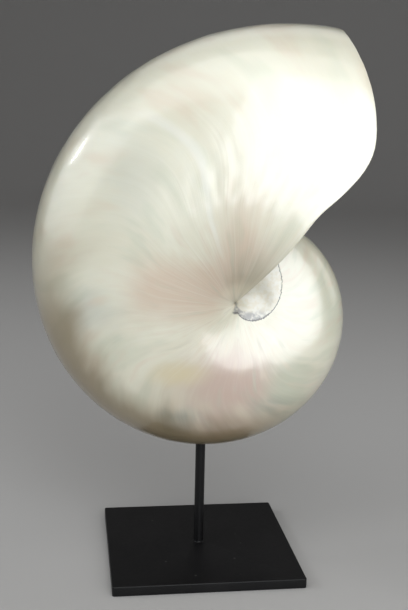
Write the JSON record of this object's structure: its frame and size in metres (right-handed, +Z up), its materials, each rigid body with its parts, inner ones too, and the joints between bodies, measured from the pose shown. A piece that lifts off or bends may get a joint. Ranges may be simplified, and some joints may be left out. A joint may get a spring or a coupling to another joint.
{
  "type": "pearl nautilus shell on a stand",
  "caption": "Whole polished nautilus shell with an open living chamber, held upright by a thin black rod in a square black plate.",
  "frame": {"origin": "centre of the base plate's underside", "axes": "+Z up along the rod, -Y towards the viewer of the shell's flank, +X towards the side where the shell opens"},
  "size_m": [0.1289, 0.0916, 0.2155],
  "materials": {
    "nacre": "polished nacre, cream white with a faint play of pink, green and blue",
    "black_stand": "satin black"
  },
  "bodies": {
    "root": {"shell": "nacre", "rod": "black_stand", "base_plate": "black_stand"}
  },
  "joints": []
}
